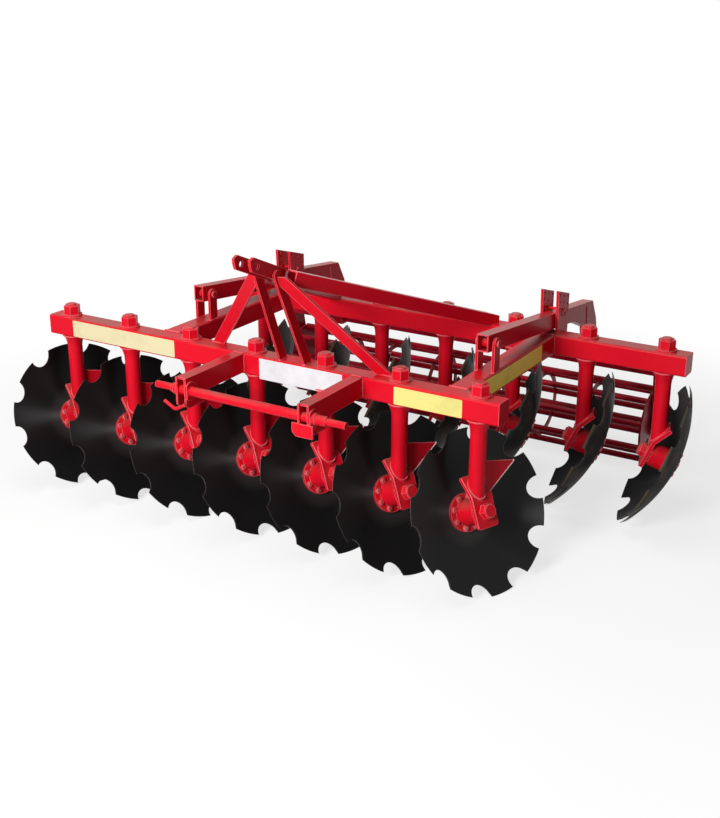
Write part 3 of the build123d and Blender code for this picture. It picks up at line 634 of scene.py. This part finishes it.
# Pieces on the frame, the mast and the roller's arms
def rail_end(rail, y):
    """Ropes up both sides and across the top and bottom of a rail where it meets a beam."""
    sides = [[(rail + edge * TUBE_HALF, y, BEAM_TOP - TUBE_CORNER),
              (rail + edge * TUBE_HALF, y, BEAM_UNDER + TUBE_CORNER)] for edge in (-1, 1)]
    levels = [across(rail, TUBE_HALF - SEAM_INSET, y, z) for z in (BEAM_TOP, BEAM_UNDER)]
    return [rope(line, MAIN_ROPE) for line in sides] + [rope(line, SEAM_ROPE) for line in levels]


def rail_tops(rail):
    """Ropes round the foot of each ear and along the outside of each depth plate."""
    made = []
    for edge in (-1, 1):
        ear = rail + edge * EAR_OUT
        skin = ear + edge * EAR_HALF
        foot = level_box(ear, EAR_HALF, (ears_low[Y], ears_high[Y]), BEAM_TOP)
        made.append(rope(foot, EAR_ROPE, closed=True))
        made.append(rope([(skin, DEPTH_PLATE_FOOT, BEAM_TOP), (skin, rear_high[Y], BEAM_TOP)], EAR_ROPE))
    return made


def channel_end(middle):
    """Ropes up both sides and across the top of a hitch channel on the front beam's face."""
    face = front_low[Y]
    sides = [[(middle + edge * CHANNEL_HALF, face, BEAM_UNDER + TUBE_CORNER),
              (middle + edge * CHANNEL_HALF, face, BEAM_TOP - SEAM_INSET)] for edge in (-1, 1)]
    top = across(middle, CHANNEL_TOP_HALF, face, BEAM_TOP)
    return [rope(line, MAIN_ROPE) for line in sides] + [rope(top, SEAM_ROPE)]


def frame_welds():
    parts = []
    for side, rail in zip((-1, 1), RAILS):
        parts += rail_end(rail, front_high[Y]) + rail_end(rail, rear_low[Y]) + rail_tops(rail)
        parts += channel_end(HITCH_MIDDLE + side * HITCH_OUT)
    piece("frame_welds", parts, WELD_RED, "frame")


def mast_welds():
    feet = [level_box(x, INNER_FOOT_HALF, INNER_FOOT_SPAN, BEAM_TOP) for x in INNER_FEET]
    feet += [level_box(x, OUTER_FOOT_HALF, OUTER_FOOT_SPAN, BEAM_TOP) for x in OUTER_FEET]
    parts = [rope(foot, SEAM_ROPE, closed=True) for foot in feet]
    piece("mast_welds", parts, WELD_RED, "frame")


def arm_welds():
    parts = []
    for rail in RAILS:
        for edge in (-1, 1):
            skin = rail + edge * (ARM_HALF + ELBOW_PROUD)
            parts.append(rope([(skin, *end) for end in ELBOW_SEAM], ELBOW_ROPE))
        parts.append(rope(across(rail, ARM_HALF, *LEG_SEAM), MAIN_ROPE))
    piece("arm_welds", parts, WELD_RED, "roller_frame")


def foil(middle, x_way, y_way, wide, high):
    """Rounded rectangle in rings: sign(turn) half + radius turn, from the rim over its rounded edge
    and then shrinking to the middle."""
    t = np.arange(FOIL_SIDES) * 2.0 * math.pi / FOIL_SIDES
    turn = np.stack([np.cos(t), np.sin(t)], axis=-1)
    half = np.array([wide / 2.0 - FOIL_CORNER, high / 2.0 - FOIL_CORNER])
    points = []
    for inset, lift, shrink in FOIL_RINGS:
        edge = np.sign(turn) * half + (FOIL_CORNER - inset) * turn
        points.append(np.concatenate([edge * shrink, np.full((FOIL_SIDES, 1), lift)], axis=1))
    z_way = np.cross(x_way, y_way)
    placed = carried(np.concatenate(points), middle, x_way, y_way, z_way)
    return placed, grid_faces(len(FOIL_RINGS), FOIL_SIDES)


def blank_plates():
    for row in FOILS:
        shape = foil(row["middle"], *row["ways"], *row["size"])
        material = plate_foil(row["name"].replace("_", " "), row["colour"], row["soiled"])
        piece(row["name"], [shape], material, "frame")


# Studio
def seen_rays(tree):
    """1 for rays that show the background: from the camera, off gloss and through glass."""
    path = node(tree, "LightPath").outputs
    first = fed(tree, "Math", "Value", {0: path["Is Camera Ray"], 1: path["Is Glossy Ray"]},
                operation="MAXIMUM")
    return fed(tree, "Math", "Value", {0: first, 1: path["Is Transmission Ray"]}, operation="MAXIMUM")


def pale_floor():
    """Pale floor whose own colour is lifted towards white, fully so away from the harrow."""
    made, tree, shader = new_material("pale floor")
    shader.inputs["Base Color"].default_value = (FLOOR_COLOUR, FLOOR_COLOUR, FLOOR_COLOUR, 1.0)
    shader.inputs["Roughness"].default_value = 0.9
    shader.inputs["Specular IOR Level"].default_value = 0.0
    white = node(tree, "Emission", Strength=1.0)
    bounce = node(tree, "BsdfDiffuse", Color=(FLOOR_BOUNCE, FLOOR_BOUNCE, FLOOR_BOUNCE, 1.0))
    far = fed(tree, "VectorMath", "Value", {0: own_place(tree)}, operation="LENGTH")
    fade = ranged(tree, far, *FLOOR_FADE, low=FLOOR_LIFT)
    shown = mix_shader(tree, fade, shader.outputs["BSDF"], white.outputs["Emission"])
    whole = mix_shader(tree, seen_rays(tree), bounce.outputs["BSDF"], shown)
    tree.links.new(whole, tree.nodes["Material Output"].inputs["Surface"])
    return made


def studio_floor():
    mesh = bpy.data.meshes.new("floor")
    corners = [(x * FLOOR_HALF, y * FLOOR_HALF, 0.0) for x, y in ((-1, -1), (1, -1), (1, 1), (-1, 1))]
    mesh.from_pydata(corners, [], [(0, 1, 2, 3)])
    mesh.materials.append(pale_floor())
    floor = bpy.data.objects.new("floor", mesh)
    bpy.context.scene.collection.objects.link(floor)


def studio_world():
    """Dim fill for the harrow, and plain white where the background itself is seen."""
    world = bpy.data.worlds.new("studio")
    bpy.context.scene.world = world
    world.use_nodes = True
    tree = world.node_tree
    fill = tree.nodes["Background"]
    fill.inputs["Color"].default_value = WHITE
    fill.inputs["Strength"].default_value = WORLD_FILL
    white = node(tree, "Background", Color=WHITE, Strength=1.0)
    shown = mix_shader(tree, seen_rays(tree), fill.outputs["Background"], white.outputs["Background"])
    tree.links.new(shown, tree.nodes["World Output"].inputs["Surface"])


def soft_lights():
    for row in SOFT_LIGHTS:
        data = bpy.data.lights.new(row["name"], "AREA")
        data.shape = "SQUARE"
        data.size = row["size"]
        data.energy = row["power"]
        lamp = bpy.data.objects.new(row["name"], data)
        bpy.context.scene.collection.objects.link(lamp)
        away = np.array(row["place"]) - np.array(row["aim"])
        placed_at(lamp, *frame_along(away), row["place"])


def set_camera():
    """Looks along (-sin a cos e, cos a cos e, -sin e), then rolls about that line."""
    a = math.radians(CAMERA_AZIMUTH)
    e = math.radians(CAMERA_DIP)
    r = math.radians(CAMERA_ROLL)
    ahead = np.array([-math.sin(a) * math.cos(e), math.cos(a) * math.cos(e), -math.sin(e)])
    level = np.array([math.cos(a), math.sin(a), 0.0])
    over = np.cross(level, ahead)
    right = math.cos(r) * level + math.sin(r) * over
    up = math.cos(r) * over - math.sin(r) * level
    data = bpy.data.cameras.new("camera")
    data.sensor_fit = "VERTICAL"
    data.sensor_height = SENSOR_HEIGHT
    data.lens = LENS_PIXELS * SENSOR_HEIGHT / PICTURE_HEIGHT
    data.clip_end = FARTHEST_SEEN
    camera = bpy.data.objects.new("camera", data)
    bpy.context.scene.collection.objects.link(camera)
    placed_at(camera, right, up, -ahead, CAMERA_PLACE)
    bpy.context.scene.camera = camera


paint_solids()
flange_bolts()
post_pieces()
frame_welds()
mast_welds()
arm_welds()
blank_plates()
studio_floor()
studio_world()
soft_lights()
set_camera()
bpy.context.scene.view_settings.view_transform = "Standard"
